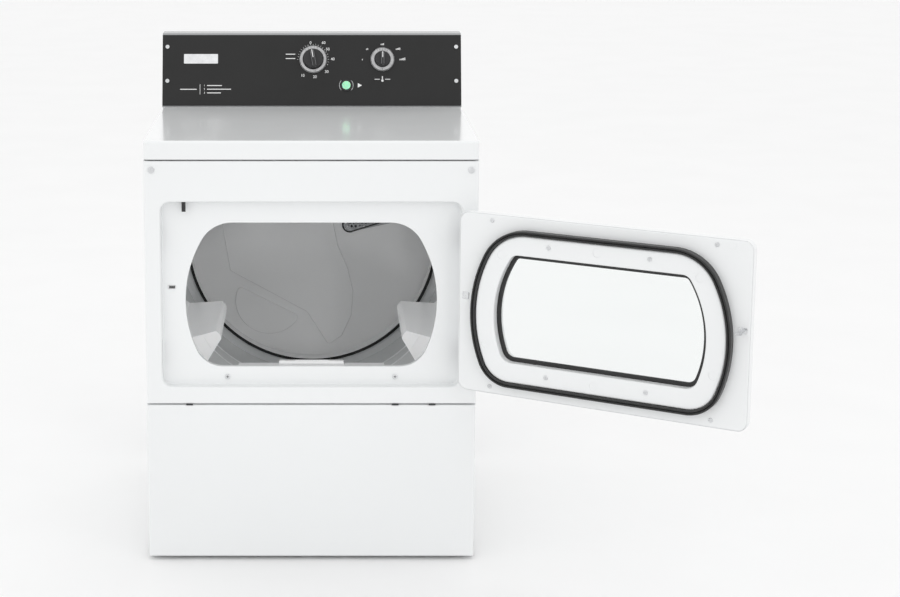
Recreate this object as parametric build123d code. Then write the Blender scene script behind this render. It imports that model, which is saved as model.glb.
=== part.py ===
from build123d import *
import math
import os

# Clothes dryer with a side-swinging glazed door. Millimetres, +Z up. The origin is on the floor at
# the centre of the cabinet's footprint, the front faces -Y and +X is to the right of a person who
# stands in front. The door rests wide open.

# Cabinet
WIDTH = 686.0
DEPTH = 660.0
WORKTOP_Z = 898.0
WORKTOP_LEDGE = 0.6
SHEET = 1.0
HALF = WIDTH / 2
INNER_HALF = HALF - SHEET
FRONT = -DEPTH / 2
BACK = DEPTH / 2
TOE_LOW = 8.0
TOE_TOP = 340.5
FRONT_LOW = 343.0
FRONT_TOP = 857.0
TOP_LOW = 859.5
PAN_Z = 16.0
PANEL_RETURN_Y = FRONT + 27.0
SKIN_BEND = 4.0

# Recess and access opening of the front panel
FRONT_SHEET = 1.6
RECESS_HALF = 309.5
RECESS_LOW = 380.0
RECESS_TOP = 771.0
RECESS_CORNER = 20.0
RECESS_FLOOR_Y = FRONT + 22.0
MOUTH_RADIUS = 4.0
ROUND_AXIS_Z = 558.0
ACCESS_RADIUS = 261.0
ACCESS_LOW = 418.0
ACCESS_TOP = 724.0
ACCESS_CORNERS = (72.0, 60.0)

# Drum
DRUM_Z = 570.0
DRUM_RADIUS = 318.5
DRUM_INSIDE = DRUM_RADIUS - SHEET
DRUM_FRONT_Y = -250.0
DRUM_BACK_Y = 262.0
COLLAR_RADIUS = 285.0
COLLAR_FRONT_Y = -274.5
BULKHEAD_RING = 277.5
FRONT_BULKHEAD_Y = -297.0
REAR_BULKHEAD_Y = 284.0
REAR_RING = 289.0
RELIEF_SLOPE = 27.0
BAFFLE_HEIGHT = 80.0
BAFFLE_ANGLE = 58.0
BAFFLE_FRONT_Y = -190.0
BAFFLE_BACK_Y = 150.0
BAFFLE_SLOPE = 45.0
INLET_LEFT = 79.0
INLET_LOW = 586.0
INLET_RISE = math.tan(math.radians(12.5))

# Drive
SHAFT_Z = 135.0
BELT_Y = -5.0
BELT_GAP = 0.3
MOTOR_PULLEY_RADIUS = 12.0
IDLER_RADIUS = 32.0
IDLER_X = -130.0
IDLER_Z = 110.0
ROLLER_RADIUS = 38.0
ROLLER_ANGLE = 38.0
ROLLER_AXLE = 6.0

# Air path
FILTER_Y = -286.0
DUCT_HALF = 74.0
DUCT_FRONT_Y = -295.5
DUCT_BACK_Y = -277.0
BLOWER_BACK_Y = -200.0
EXHAUST_X = 120.0
EXHAUST_Z = 77.0
EXHAUST_RADIUS = 50.8
EXHAUST_END_Y = 352.0

# Door, drawn closed and then swung open about its hinge line
DOOR_HALF = 305.0
DOOR_LOW = 389.0
DOOR_TOP = 762.0
DOOR_FACE_Y = -350.0
DOOR_INNER_Y = -325.0
DOOR_CORNER = 20.0
POCKET_X = -271.0
POCKET_Z = 575.0
POCKET_WIDE = 44.0
POCKET_TALL = 102.0
POCKET_DEEP = 15.5
GASKET_OUTER = 272.0
GASKET_BAND = 9.5
GASKET_RIB = 3.6
GASKET_LOW = 411.0
GASKET_TOP = 736.0
GASKET_CORNERS = (100.0, 70.0)
FRAME_STEP = 12.0
FRAME_DIMPLES = ((3, 709), (3, 440), (206, 683), (-206, 683), (238, 496), (-238, 496))
FRAME_SCREWS = ((-105, 708), (105, 708), (-105, 443), (105, 443))
PANEL_SCREWS = ((-233, 749), (233, 749), (-233, 404), (233, 404))
WINDOW_RADIUS = 216.5
WINDOW_LOW = 467.0
WINDOW_TOP = 680.0
WINDOW_CORNERS = (15.0, 22.0)
GLASS_Y = -334.0
GLASS_THICK = 4.0
HINGE_X = 309.5
HINGE_Y = -349.0
HINGE_HEIGHTS = (446.0, 695.0)
HINGE_HALF = 26.0
DOOR_OPEN = 150.0
STRIKE_X = -289.0
STRIKE_Z = 588.0

# Console, whose face leans back
CONSOLE_FOOT_Y = 172.0
CONSOLE_FOOT_Z = 902.0
CONSOLE_SEAT_Z = WORKTOP_Z - WORKTOP_LEDGE
CONSOLE_FACE_TOP_Y = 215.0
CONSOLE_FACE_TOP_Z = 1060.0
CONSOLE_TOP_Z = 1063.0
CONSOLE_REAR_TOP_Y = 276.0
CONSOLE_REAR_FOOT_Y = 293.0
FACE_THICK = 3.0
LEAN = math.atan2(CONSOLE_FACE_TOP_Y - CONSOLE_FOOT_Y, CONSOLE_FACE_TOP_Z - CONSOLE_FOOT_Z)
FACE_HEIGHT = (CONSOLE_FACE_TOP_Z - CONSOLE_FOOT_Z) / math.cos(LEAN)
TIMER_AT = (3.0, 106.8)
TEMPERATURE_AT = (162.0, 106.8)
START_AT = (79.0, 46.7)
SPINDLE = 3.0
BUTTON_RADIUS = 9.7
BUTTON_GAP = 0.2

# Terminal box
TERMINAL_X = -245.0
TERMINAL_Z = 805.0
CORD_HOLE = 11.0

# Idler
PIVOT_X = -75.0
PIVOT_Z = 55.0
ARM_Y = BELT_Y + 22

# Feet
FOOT_X = 300.0
FOOT_Y = 278.0
FOOT_PAD = 19.0
FOOT_STEM = 5.0


def block(x, y, z):
    """Box between three (low, high) pairs."""
    low, high = zip(x, y, z)
    size = [b - a for a, b in zip(low, high)]
    middle = [(a + b) / 2 for a, b in zip(low, high)]
    return Pos(*middle) * Box(*size)


def rod_y(x, z, radius, low, high):
    """Cylinder along Y."""
    return Pos(x, (low + high) / 2, z) * Rot(90, 0, 0) * Cylinder(radius, high - low)


def rod_z(x, y, radius, low, high):
    """Cylinder along Z."""
    return Pos(x, y, (low + high) / 2) * Cylinder(radius, high - low)


def rod_x(y, z, radius, low, high):
    """Cylinder along X."""
    return Pos((low + high) / 2, y, z) * Rot(0, 90, 0) * Cylinder(radius, high - low)


def along_y(sketch, low, high):
    """Sketch drawn in (x, z), extruded between two depths."""
    plane = Plane(origin=(0, high, 0), x_dir=(1, 0, 0), z_dir=(0, -1, 0))
    return extrude(plane * sketch, high - low)


def along_x(points, low, high):
    """Outline drawn in (y, z), extruded between two places along X."""
    plane = Plane(origin=(low, 0, 0), x_dir=(0, 1, 0), z_dir=(1, 0, 0))
    return extrude(plane * make_face(Polyline(points, close=True)), high - low)


def turned(points, x=0.0, z=DRUM_Z):
    """Solid of revolution about a line along Y, from an outline in (radius, y)."""
    outline = Pos(x, 0, z) * make_face(Polyline(points, close=True))
    return revolve(outline, Axis((x, 0, z), (0, 1, 0)))


def panel_sheet(low_x, high_x, low_z, high_z, corner):
    """Rounded rectangle in (x, z)."""
    middle = Pos((low_x + high_x) / 2, (low_z + high_z) / 2)
    return middle * RectangleRounded(high_x - low_x, high_z - low_z, corner)


def round_window(radius, low, high, corners, grow=0.0):
    """Disc cut off flat above and below, its corners rounded, all grown outwards by a margin."""
    low, high = low - grow, high + grow
    band = Pos(0, (low + high) / 2) * Rectangle(3 * radius, high - low)
    outline = (Pos(0, ROUND_AXIS_Z) * Circle(radius + grow)) & band
    outline = fillet(outline.vertices().group_by(Axis.Y)[-1], corners[0] + grow)
    return fillet(outline.vertices().group_by(Axis.Y)[0], corners[1] + grow)


def access_window(grow=0.0):
    return round_window(ACCESS_RADIUS, ACCESS_LOW, ACCESS_TOP, ACCESS_CORNERS, grow)


def door_window(grow=0.0):
    return round_window(WINDOW_RADIUS, WINDOW_LOW, WINDOW_TOP, WINDOW_CORNERS, grow)


def gasket_window(grow=0.0):
    return round_window(GASKET_OUTER, GASKET_LOW, GASKET_TOP, GASKET_CORNERS, grow)


def edges_at_y(shape, y):
    """Edges that lie wholly at one depth."""
    return [e for e in shape.edges() if abs(e.bounding_box().min.Y - y) < 0.01
            and abs(e.bounding_box().max.Y - y) < 0.01]


def screw_head(radius, height):
    """Low domed head with a crossed driver slot, standing on Z = 0."""
    head = fillet(Cylinder(radius, height, align=(Align.CENTER, Align.CENTER, Align.MIN))
                  .edges().group_by(Axis.Z)[-1], height * 0.6)
    slot = Pos(0, 0, height) * Box(radius, radius * 0.24, height)
    return head - slot - Rot(0, 0, 90) * slot


def on_console(x, up, out=0.0):
    """Place on the leaning console face: local Z points out of the face."""
    plane = Plane(origin=(0, CONSOLE_FOOT_Y, CONSOLE_FOOT_Z), x_dir=(1, 0, 0),
                  z_dir=(0, -math.cos(LEAN), math.sin(LEAN)))
    return plane.location * Pos(x, up, out)


def swung_open(shape):
    """Turn a part of the closed door about the hinge line to its open stop."""
    return Pos(HINGE_X, HINGE_Y, 0) * Rot(0, 0, DOOR_OPEN) * Pos(-HINGE_X, -HINGE_Y, 0) * shape


# ---------------------------------------------------------------- cabinet panels
def base_pan():
    floor = block((-INNER_HALF, INNER_HALF), (PANEL_RETURN_Y, BACK - SHEET), (PAN_Z, PAN_Z + SHEET))
    rim = block((-INNER_HALF, INNER_HALF), (PANEL_RETURN_Y, BACK - SHEET), (PAN_Z, PAN_Z + 26))
    rim -= block((-INNER_HALF + SHEET, INNER_HALF - SHEET),
                 (PANEL_RETURN_Y + SHEET, BACK - 2 * SHEET), (PAN_Z, PAN_Z + 30))
    pan = floor + rim
    for x in (-FOOT_X, FOOT_X):
        for y in (-FOOT_Y, FOOT_Y):
            pan += rod_z(x, y, 10, PAN_Z, PAN_Z + 16)
            pan -= rod_z(x, y, FOOT_STEM + 0.05, PAN_Z - 1, PAN_Z + 20)
    pan -= rod_y(EXHAUST_X, EXHAUST_Z, EXHAUST_RADIUS + 5, BACK - 10, BACK)
    return pan + idler_post()


def side_panel(side):
    wall = block((INNER_HALF, HALF), (PANEL_RETURN_Y + 0.5, BACK - SHEET), (TOE_LOW, FRONT_TOP))
    lip = block((INNER_HALF - 22, INNER_HALF), (PANEL_RETURN_Y + 0.5, PANEL_RETURN_Y + 0.5 + SHEET),
                (PAN_Z + 28, FRONT_TOP - 20))
    panel = wall + lip - block((INNER_HALF - 23, INNER_HALF), (FRONT, 0), (PAN_Z + 28, FRONT_LOW + 5))
    return panel if side > 0 else mirror(panel, Plane.YZ)


def rear_panel():
    panel = block((-HALF, HALF), (BACK - SHEET, BACK), (TOE_LOW, FRONT_TOP))
    panel -= rod_y(EXHAUST_X, EXHAUST_Z, EXHAUST_RADIUS + 3, BACK - 5, BACK + 5)
    panel -= block((TERMINAL_X - 37, TERMINAL_X + 37), (BACK - 5, BACK + 5),
                   (TERMINAL_Z - 37, TERMINAL_Z + 37))
    vent = SlotOverall(70, 6)
    for column in range(-3, 1):
        for row in range(9):
            at = Pos(column * 84 - 20, 560 + row * 16)
            panel -= along_y(at * vent, BACK - 5, BACK + 5)
    rib = panel_sheet(-290, 290, 200, 215, 7)
    for z in (0, 260):
        panel += along_y(Pos(0, z) * rib, BACK - 0.5, BACK + 3)
    return panel


def top_panel():
    panel = block((-HALF, HALF), (FRONT, BACK), (TOP_LOW, WORKTOP_Z))
    uprights = panel.edges().filter_by(Axis.Z).sort_by(Axis.Y)
    panel = fillet(uprights[:2], 10)
    panel = fillet(panel.faces().sort_by(Axis.Z)[-1].edges(), 5)
    hollow = block((-INNER_HALF, INNER_HALF), (FRONT + SHEET, BACK - SHEET),
                   (TOP_LOW - 1, WORKTOP_Z - SHEET))
    hollow = fillet(hollow.edges().filter_by(Axis.Z).sort_by(Axis.Y)[:2], 10 - SHEET)
    hollow = fillet(hollow.faces().sort_by(Axis.Z)[-1].edges(), 5 - SHEET)
    ledge = block((-HALF - 1, HALF + 1), (CONSOLE_FOOT_Y - 0.5, BACK + 1),
                  (WORKTOP_Z - WORKTOP_LEDGE, WORKTOP_Z + 1))
    return panel - hollow - ledge


def hollow_front(low, high, sheet):
    """Front skin with its four edges returned backwards."""
    skin = block((-HALF, HALF), (FRONT, PANEL_RETURN_Y), (low, high))
    skin = fillet(skin.faces().sort_by(Axis.Y)[0].edges(), SKIN_BEND)
    hollow = block((-HALF + sheet, HALF - sheet), (FRONT + sheet, PANEL_RETURN_Y + 1),
                   (low + sheet, high - sheet))
    return skin - fillet(hollow.faces().sort_by(Axis.Y)[0].edges(), SKIN_BEND - sheet)


def front_panel():
    skin = hollow_front(FRONT_LOW, FRONT_TOP, FRONT_SHEET)
    wall = FRONT_SHEET
    tub = panel_sheet(-RECESS_HALF - wall, RECESS_HALF + wall, RECESS_LOW - wall,
                      RECESS_TOP + wall, RECESS_CORNER + wall)
    mouth = panel_sheet(-RECESS_HALF, RECESS_HALF, RECESS_LOW, RECESS_TOP, RECESS_CORNER)
    void = fillet(along_y(mouth, FRONT - 5, RECESS_FLOOR_Y).faces().sort_by(Axis.Y)[-1].edges(), 3)
    panel = skin + along_y(tub, FRONT + wall / 2, RECESS_FLOOR_Y + wall) - void
    rim = [e for e in edges_at_y(panel, FRONT) if abs(e.center().X) < RECESS_HALF + 3
           and RECESS_LOW - 5 < e.center().Z < RECESS_TOP + 5]
    panel = fillet(rim, MOUTH_RADIUS)
    panel += along_y(access_window(SHEET), RECESS_FLOOR_Y + 0.5, FRONT_BULKHEAD_Y)
    panel -= along_y(access_window(), FRONT, FRONT_BULKHEAD_Y + 5)
    panel = fillet([e for e in edges_at_y(panel, RECESS_FLOOR_Y)
                    if abs(e.center().X) < ACCESS_RADIUS + 5 and abs(e.center().Z - DRUM_Z) < 165], 1.5)
    for z in HINGE_HEIGHTS:
        for x in (-RECESS_HALF, RECESS_HALF):
            panel -= block((x - 4, x + 4), (-322, -315), (z - HINGE_HALF - 1, z + HINGE_HALF + 1))
    panel -= block((-268, -256), (-326.5, -311), (RECESS_TOP - 3, RECESS_TOP + 4))
    panel -= block((STRIKE_X - 8, STRIKE_X + 8), (RECESS_FLOOR_Y - 3, RECESS_FLOOR_Y + 4),
                   (STRIKE_Z - 4, STRIKE_Z + 4))
    return panel


def toe_panel():
    return hollow_front(TOE_LOW, TOE_TOP, SHEET)


def cabinet_screws():
    heads = []
    face_on = Rot(90, 0, 0)
    for x, z in ((-327, 838), (327, 838)):
        heads.append(Pos(x, FRONT, z) * face_on * screw_head(6.8, 2.6))
    for x in (-175, 175):
        heads.append(Pos(x, RECESS_FLOOR_Y, 396) * face_on * screw_head(6.0, 2.4))
    for x in (-331.5, 331.5):
        for up in (57, 136):
            heads.append(on_console(x, up) * screw_head(4.75, 1.8))
    return Compound(children=heads)


# ---------------------------------------------------------------- console
def console_face():
    slab = on_console(0, FACE_HEIGHT / 2, -FACE_THICK / 2) * Box(WIDTH, FACE_HEIGHT, FACE_THICK)
    normal = Vector(0, -math.cos(LEAN), math.sin(LEAN))
    front = max(slab.faces(), key=lambda f: f.center().dot(normal))
    slab = fillet(front.edges(), 1.6)
    for (x, up), radius in ((TIMER_AT, 6), (TEMPERATURE_AT, 6), (START_AT, BUTTON_RADIUS + 0.6)):
        slab -= on_console(x, up) * Cylinder(radius, 20)
    return slab


def console_profile(inset):
    """Console section in (y, z) behind the face, drawn in by an inset."""
    lean = math.tan(LEAN)
    below = CONSOLE_FOOT_Z - CONSOLE_SEAT_Z
    front_foot = CONSOLE_FOOT_Y + FACE_THICK / math.cos(LEAN) - below * lean + 0.1
    top = CONSOLE_TOP_Z - inset
    rise = top - CONSOLE_SEAT_Z
    return [(front_foot + inset, CONSOLE_SEAT_Z), (front_foot + inset + lean * (rise - 4), top - 4),
            (front_foot + inset + lean * rise + 3, top), (CONSOLE_REAR_TOP_Y - inset, top),
            (CONSOLE_REAR_FOOT_Y - inset, CONSOLE_SEAT_Z)]


def console_shell():
    wall = 2.5
    body = along_x(console_profile(0), -HALF, HALF)
    body = fillet(body.faces().sort_by(Axis.Z)[-1].edges().filter_by(Axis.X).sort_by(Axis.Y)[-1], 6)
    hollow = along_x(console_profile(wall), -HALF + wall, HALF - wall)
    body -= hollow
    rear = [(CONSOLE_REAR_TOP_Y - 30, CONSOLE_SEAT_Z - 1), (CONSOLE_REAR_TOP_Y - 30, CONSOLE_TOP_Z - 9),
            (CONSOLE_REAR_FOOT_Y + 9, CONSOLE_TOP_Z - 9), (CONSOLE_REAR_FOOT_Y + 9, CONSOLE_SEAT_Z - 1)]
    body -= along_x(rear, -HALF + wall, HALF - wall)
    for (x, up), radius in ((TIMER_AT, 6), (TEMPERATURE_AT, 6), (START_AT, BUTTON_RADIUS + 0.6)):
        body -= on_console(x, up) * Cylinder(radius, 40)
    return body


def console_back_cover():
    high = CONSOLE_TOP_Z - 9.5
    slope = (CONSOLE_REAR_FOOT_Y - CONSOLE_REAR_TOP_Y) / (CONSOLE_TOP_Z - CONSOLE_SEAT_Z)
    top_y = CONSOLE_REAR_TOP_Y + slope * 9.5
    points = [(top_y - 2, high), (top_y - 0.5, high), (CONSOLE_REAR_FOOT_Y - 0.5, CONSOLE_SEAT_Z + 0.3),
              (CONSOLE_REAR_FOOT_Y - 2, CONSOLE_SEAT_Z + 0.3)]
    cover = along_x(points, -HALF + 3, HALF - 3)
    for column in range(-4, 5):
        for row in range(3):
            cover -= block((column * 60 - 18, column * 60 + 18), (250, 320),
                           (940 + row * 12, 944 + row * 12))
    return cover


def console_switch(place, size, thick, bore):
    """Switch body hung behind the console front, bored for its spindle."""
    x, up = place
    depth = -FACE_THICK - 2.9
    body = on_console(x, up, depth - thick / 2) * Box(size[0], size[1], thick)
    body = fillet(body.edges().filter_by(Axis.X), 3)
    neck = on_console(x, up, depth + 1) * Cylinder(5.6, 4)
    return body + neck - on_console(x, up, depth) * Cylinder(bore, 2 * thick - 6)


def start_switch():
    x, up = START_AT
    bezel = on_console(x, up, 1.2) * Cylinder(14, 2.4)
    bezel = fillet(bezel.edges().sort_by(lambda e: e.center().dot(Vector(0, -1, 0.27)))[-1], 1)
    sleeve = on_console(x, up, -9) * Cylinder(BUTTON_RADIUS + 0.5, 18)
    box = on_console(x, up, -22) * Box(30, 24, 18)
    body = bezel + sleeve + box
    body -= on_console(x, up, -6) * Cylinder(BUTTON_RADIUS + BUTTON_GAP, 22)
    return body


def start_button():
    x, up = START_AT
    button = on_console(x, up, -2.5) * Cylinder(BUTTON_RADIUS, 14)
    crown = button.edges().sort_by(lambda e: e.center().dot(Vector(0, -1, 0.27)))[-1]
    return fillet(crown, 1.2)


def control_knob(place, skirt, grip, lean=0.0):
    """Round knob with a finger bar on a dished skirt, with its spindle."""
    x, up = place
    base = Pos(0, 0, 3.3) * Cylinder(skirt, 5)
    base = fillet(base.edges().group_by(Axis.Z)[-1], 2)
    body = Pos(0, 0, 12.8) * Cylinder(grip, 14)
    body = fillet(body.edges().group_by(Axis.Z)[-1], 2.5)
    bar = Pos(0, 0, 22) * Box(grip * 0.42, grip * 1.9, 12)
    bar = fillet(bar.edges().filter_by(Axis.Z), grip * 0.18)
    bar = fillet(bar.edges().group_by(Axis.Z)[-1], 1.5)
    spindle = Pos(0, 0, -9) * Cylinder(SPINDLE, 24)
    return on_console(x, up) * Rot(0, 0, lean) * (base + body + bar + spindle)


# ---------------------------------------------------------------- drum and its bulkheads
def front_bulkhead():
    plate = panel_sheet(-INNER_HALF, INNER_HALF, 240, 852, 12)
    plate -= access_window(4)
    wall = along_y(plate, FRONT_BULKHEAD_Y, FRONT_BULKHEAD_Y + SHEET)
    wall -= block((-INNER_HALF - 1, -INNER_HALF + 23), (FRONT_BULKHEAD_Y - 1, 0), (0, 900))
    wall -= block((INNER_HALF - 23, INNER_HALF + 1), (FRONT_BULKHEAD_Y - 1, 0), (0, 900))
    inside = BULKHEAD_RING - SHEET
    start = FRONT_BULKHEAD_Y + 0.5
    ring = turned([(inside, start), (BULKHEAD_RING, start), (BULKHEAD_RING, -256), (inside, -256)])
    ring -= block((-DUCT_HALF - 1, DUCT_HALF + 1), (start - 1, DUCT_BACK_Y + 0.5), (250, 340))
    catch = block((STRIKE_X - 16, STRIKE_X + 16), (FRONT_BULKHEAD_Y - 1, start + 2),
                  (STRIKE_Z - 13, STRIKE_Z + 13))
    return wall + ring - catch


def rear_bulkhead():
    """Back wall of the drum with its pressed relief, a ring for the drum's seal and the inlet."""
    front = REAR_BULKHEAD_Y
    plate = along_y(panel_sheet(-INNER_HALF, INNER_HALF, 205, 852, 12), front, front + SHEET)
    inside = REAR_RING - SHEET
    ring = turned([(inside, 250), (REAR_RING, 250), (REAR_RING, front + 0.5), (inside, front + 0.5)])
    slope = Rot(0, 0, -RELIEF_SLOPE)
    dish = (Pos(-102, 416) * Circle(82)) & (Pos(-102, 416) * slope * Pos(0, -60) * Rectangle(200, 120))
    dish = fillet(dish.vertices(), 12)
    swell = make_face(Polyline((-12, 388), (39, 306), (72, 330), (95, 380), (99, 440), (86, 496),
                               (62, 552), (50, 612), (44, 740), (-160, 740), (-214, 600), (-196, 489),
                               close=True))
    swell = fillet(swell.vertices(), 9)
    shell = plate + ring
    relief_plane = Plane(origin=(0, front + 0.4, 0), x_dir=(1, 0, 0), z_dir=(0, -1, 0))
    for pad in (dish, swell):
        shell += extrude(relief_plane * pad, 4.4, taper=25)
        shell -= along_y(offset(pad, -4), front - 3, front + SHEET + 1)
    return shell - along_y(inlet_shape(4), front - 3, front + 5)


def inlet_shape(inset):
    """Corner of a disc where the heated air comes in, its lower edge rising to the right."""
    disc = Pos(0, DRUM_Z) * Circle(272 - inset)
    left, low = INLET_LEFT + inset, INLET_LOW + inset
    far = 400.0
    corner = make_face(Polyline((left, low), (far, low + (far - left) * INLET_RISE), (far, 900),
                                (left, 900), close=True))
    return fillet((disc & corner).vertices(), 16 - inset)


def perforated(outline, spacing, radius, low_y, high_y, centre):
    """Plate with a staggered grid of round holes, all kept clear of its edge."""
    face = outline.faces()[0]
    holes = []
    rows = range(-22, 23)
    keep = radius + 2.5
    inside = offset(face, -keep, kind=Kind.INTERSECTION).faces()[0]
    for row in rows:
        shift = spacing / 2 if row % 2 else 0
        for column in rows:
            x = centre[0] + column * spacing + shift
            z = centre[1] + row * spacing * math.sin(math.radians(60))
            if inside.is_inside((x, z, 0)):
                holes.append(Pos(x, z) * Circle(radius).wire())
    return along_y(Sketch() + Face(face.outer_wire(), holes), low_y, high_y)


def inlet_grille():
    return perforated(inlet_shape(-6), 9.5, 2.8, REAR_BULKHEAD_Y - 1.5, REAR_BULKHEAD_Y, (180, 680))


def drum_seals():
    front = turned([(BULKHEAD_RING, -272), (COLLAR_RADIUS - 0.4, -272), (COLLAR_RADIUS - 0.4, -258),
                    (BULKHEAD_RING, -258)])
    rear = turned([(REAR_RING, 251), (REAR_RING + 7.2, 251), (REAR_RING + 7.2, 269),
                   (REAR_RING, 269)])
    return Compound(children=[front, rear])


def drum_shell():
    outer, inner = DRUM_RADIUS, DRUM_INSIDE
    lip = REAR_RING + 7.6
    collar = COLLAR_RADIUS
    profile = [(collar, COLLAR_FRONT_Y), (collar + SHEET, COLLAR_FRONT_Y),
               (collar + SHEET, DRUM_FRONT_Y), (outer - 4, DRUM_FRONT_Y), (outer, DRUM_FRONT_Y + 4)]
    beads = (-150.0, -90.0, 90.0, 150.0)
    for y in beads:
        profile += [(outer, y - 8), (outer - 2, y - 5), (outer - 2, y + 5), (outer, y + 8)]
    profile += [(outer, DRUM_BACK_Y), (lip, DRUM_BACK_Y), (lip, DRUM_BACK_Y - SHEET),
                (inner, DRUM_BACK_Y - SHEET)]
    for y in reversed(beads):
        profile += [(inner, y + 8.6), (inner - 2, y + 5.6), (inner - 2, y - 5.6), (inner, y - 8.6)]
    profile += [(inner, DRUM_FRONT_Y + 4.6), (outer - 4.6, DRUM_FRONT_Y + SHEET),
                (collar, DRUM_FRONT_Y + SHEET)]
    return turned(profile)


def baffle_section(points):
    """Half outline in (x, height above the drum wall), mirrored and put at the drum's bottom."""
    reach = DRUM_INSIDE - 2.4
    both = points + [(-x, h) for x, h in reversed(points) if x > 0]
    return Pos(0, DRUM_Z - reach) * make_face(Polyline(both, close=True))


def lifter_step(front, height):
    """Cross rib on the lifter's front slope."""
    along = front + BAFFLE_SLOPE * (height - 4) / (BAFFLE_HEIGHT + 1)
    width = 38 - 25 * (height - 7) / (BAFFLE_HEIGHT - 25)
    up = DRUM_Z - DRUM_INSIDE + 2.4 + height
    return block((-width, width), (along - 1.5, along + 8), (up - 4, up))


def baffle(angle):
    """Hollow lifter on the drum wall: broad foot, narrow crest, and a ribbed slope in front."""
    reach = DRUM_INSIDE - 2.4
    front, back = BAFFLE_FRONT_Y, BAFFLE_BACK_Y
    outline = baffle_section([(54, -12), (54, 3), (42, 7), (17, BAFFLE_HEIGHT - 18),
                              (10, BAFFLE_HEIGHT - 2), (0, BAFFLE_HEIGHT)])
    outline = fillet(outline.vertices().sort_by(Axis.Y)[-5:], 4)
    fin = along_y(outline, front, back)
    low, top = DRUM_Z - reach + 4, DRUM_Z - reach + BAFFLE_HEIGHT + 5
    fin -= along_x([(front - 1, low), (front - 1, top), (front + BAFFLE_SLOPE, top)], -60, 60)
    fin -= along_x([(back + 1, low), (back + 1, top), (back - 25, top)], -60, 60)
    for height in (30.0, 52.0):
        fin += lifter_step(front, height)
    fin &= rod_y(0, DRUM_Z, reach, front, back)
    void = baffle_section([(38, -14), (38, 4), (13, BAFFLE_HEIGHT - 19), (0, BAFFLE_HEIGHT - 8)])
    fin -= along_y(void, front + BAFFLE_SLOPE + 15, back - 30)
    return Pos(0, 0, DRUM_Z) * Rot(0, angle, 0) * Pos(0, 0, -DRUM_Z) * fin


# ---------------------------------------------------------------- drive
def roller_centre(side):
    reach = DRUM_RADIUS + 0.3 + ROLLER_RADIUS
    angle = math.radians(ROLLER_ANGLE)
    return side * reach * math.sin(angle), DRUM_Z - reach * math.cos(angle)


def drum_roller(side):
    x, z = roller_centre(side)
    wheel = rod_y(x, z, ROLLER_RADIUS, 225, 250)
    wheel = fillet(wheel.edges(), 2)
    wheel -= turned([(16, 224), (30, 224), (30, 230), (16, 230)], x, z)
    return wheel - rod_y(x, z, ROLLER_AXLE + 0.05, 220, 255)


def roller_shafts():
    shafts = []
    for side in (-1, 1):
        x, z = roller_centre(side)
        shafts.append(rod_y(x, z, ROLLER_AXLE, 220, REAR_BULKHEAD_Y)
                      + rod_y(x, z, 10, 252, REAR_BULKHEAD_Y))
    return Compound(children=shafts)


def belt_loop(gap):
    """Tight outline of the belt round the drum, idler and motor pulley, in (x, z)."""
    circles = [Pos(0, DRUM_Z) * Circle(DRUM_RADIUS + gap).edge(),
               Pos(0, SHAFT_Z) * Circle(MOTOR_PULLEY_RADIUS + gap).edge(),
               Pos(IDLER_X, IDLER_Z) * Circle(IDLER_RADIUS + gap).edge()]
    return make_hull(circles)


def drive_belt():
    ring = belt_loop(BELT_GAP + 3.2) - belt_loop(BELT_GAP)
    return along_y(ring, BELT_Y - 4, BELT_Y + 4)


def motor():
    body = rod_y(0, SHAFT_Z, 66, -176, -64)
    body = fillet(body.edges(), 12)
    bells = rod_y(0, SHAFT_Z, 24, -184, -56)
    cradle = block((-72, 72), (-160, -80), (PAN_Z + SHEET, PAN_Z + SHEET + 4))
    for y in (-150, -90):
        cradle += block((-45, 45), (y - 3, y + 3), (PAN_Z + SHEET, SHAFT_Z - 50))
    return body + bells + cradle - rod_y(0, SHAFT_Z, 6.1, -200, -40)


def motor_shaft():
    shaft = rod_y(0, SHAFT_Z, 6, -262, 10)
    pulley = turned([(5, BELT_Y - 10), (15, BELT_Y - 10), (15, BELT_Y - 7), (12, BELT_Y - 6),
                     (12, BELT_Y + 6), (15, BELT_Y + 7), (15, BELT_Y + 10), (5, BELT_Y + 10)],
                    0, SHAFT_Z)
    return shaft + pulley


def blower_wheel():
    hub = rod_y(0, SHAFT_Z, 16, -262, -208) - rod_y(0, SHAFT_Z, 6, -270, -200)
    wheel = hub + rod_y(0, SHAFT_Z, 86, -212, -208) - rod_y(0, SHAFT_Z, 6, -270, -200)
    rim = rod_y(0, SHAFT_Z, 86, -264, -261) - rod_y(0, SHAFT_Z, 66, -270, -260)
    wheel += rim
    blade = block((64, 85.5), (-262, -210), (SHAFT_Z - 1, SHAFT_Z + 1))
    turn = Pos(0, 0, SHAFT_Z)
    for k in range(24):
        wheel += turn * Rot(0, k * 15, 0) * Pos(0, 0, -SHAFT_Z) * blade
    return wheel


def idler_arm():
    """Flat arm with the idler pulley's pin, and the spring coiled round the pivot bolt."""
    across, up = IDLER_X - PIVOT_X, IDLER_Z - PIVOT_Z
    middle = Pos(PIVOT_X + across / 2, PIVOT_Z + up / 2)
    link = middle * Rot(0, 0, math.degrees(math.atan2(up, across))) \
        * SlotCenterToCenter(math.hypot(across, up), 26)
    arm = along_y(link, ARM_Y, ARM_Y + 3)
    arm -= rod_y(PIVOT_X, PIVOT_Z, 5.05, ARM_Y - 1, ARM_Y + 5)
    arm += rod_y(IDLER_X, IDLER_Z, 5, BELT_Y - 16, ARM_Y + 1)
    coil = [(9, ARM_Y + 4), (12, ARM_Y + 4), (12, ARM_Y + 16), (9, ARM_Y + 16)]
    return Compound(children=[arm, turned(coil, PIVOT_X, PIVOT_Z)])


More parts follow.
